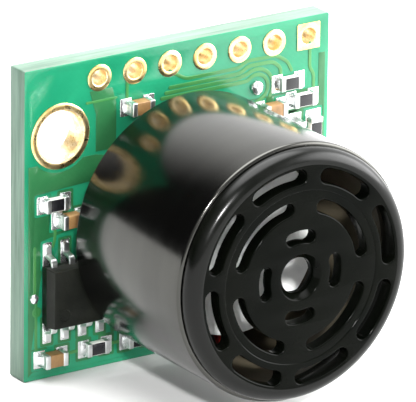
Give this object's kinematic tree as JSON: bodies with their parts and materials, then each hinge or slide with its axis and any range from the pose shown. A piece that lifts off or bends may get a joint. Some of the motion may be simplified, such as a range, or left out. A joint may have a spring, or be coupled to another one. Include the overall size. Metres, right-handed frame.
{
  "type": "ultrasonic distance sensor",
  "caption": "Ultrasonic range finder: a small square green circuit board with one round black slotted transducer on its front and a row of plated holes along its top edge.",
  "frame": {"origin": "bottom centre of the bounding box: the board's lower edge is at Z = 0", "axes": "+X along the header row, +Z from the board's lower edge up to the header row, the transducer faces -Y"},
  "size_m": [0.022, 0.0172, 0.0199],
  "materials": {
    "solder_mask": "green solder mask over glass-fibre board, glossy",
    "gold_plating": "thin gold plating, bright",
    "blackened_can": "black anodised, glossy",
    "black_cap": "black moulded plastic, glossy",
    "spun_aluminium": "bare, matte",
    "brass": "bare",
    "piezo_ceramic": "fired ceramic, matte",
    "phenolic": "dark moulded phenolic, matte",
    "silicone": "soft white silicone",
    "tinned_metal": "tin plating, satin",
    "solder": "solder, bright",
    "moulded_epoxy": "moulded epoxy, fine matte grain",
    "capacitor_ceramic": "brown ceramic between tinned ends",
    "resistor_glaze": "black glaze between tinned ends",
    "red_insulation": "red wire insulation"
  },
  "bodies": {
    "root": {"amplifier_lead_frame": "tinned_metal", "amplifier_package": "moulded_epoxy", "capacitor_back_left": "capacitor_ceramic", "capacitor_back_lower": "capacitor_ceramic", "capacitor_back_upper": "capacitor_ceramic", "capacitor_left": "capacitor_ceramic", "capacitor_lower_left": "capacitor_ceramic", "capacitor_right": "capacitor_ceramic", "capacitor_right_edge": "capacitor_ceramic", "capacitor_top": "capacitor_ceramic", "circuit_board": "solder_mask", "diaphragm_plate": "brass", "diode_pair_lead_frame": "tinned_metal", "diode_pair_package": "moulded_epoxy", "front_grille": "black_cap", "header_hole_plating_1": "gold_plating", "header_hole_plating_2": "gold_plating", "header_hole_plating_3": "gold_plating", "header_hole_plating_4": "gold_plating", "header_hole_plating_5": "gold_plating", "header_hole_plating_6": "gold_plating", "header_hole_plating_7": "gold_plating", "lead_wire_plain": "tinned_metal", "lead_wire_red": "red_insulation", "microcontroller_lead_frame": "tinned_metal", "microcontroller_package": "moulded_epoxy", "mounting_hole_plating_lower_right": "gold_plating", "mounting_hole_plating_upper_left": "gold_plating", "nodal_support_ring": "silicone", "piezo_disc": "piezo_ceramic", "resistor_back_left": "resistor_glaze", "resistor_back_lower": "resistor_glaze", "resistor_back_middle": "resistor_glaze", "resistor_left": "resistor_glaze", "resistor_lower_left": "resistor_glaze", "resistor_lower_middle": "resistor_glaze", "resistor_right_edge": "resistor_glaze", "resistor_right_lower": "resistor_glaze", "resistor_right_upper": "resistor_glaze", "resonator_cone": "spun_aluminium", "solder_bump_left": "solder", "solder_bump_upper_right": "solder", "terminal_pin_lower": "tinned_metal", "terminal_pin_upper": "tinned_metal", "terminal_solder_joint_lower": "solder", "terminal_solder_joint_upper": "solder", "transducer_base": "phenolic", "transducer_can": "blackened_can"}
  },
  "joints": []
}
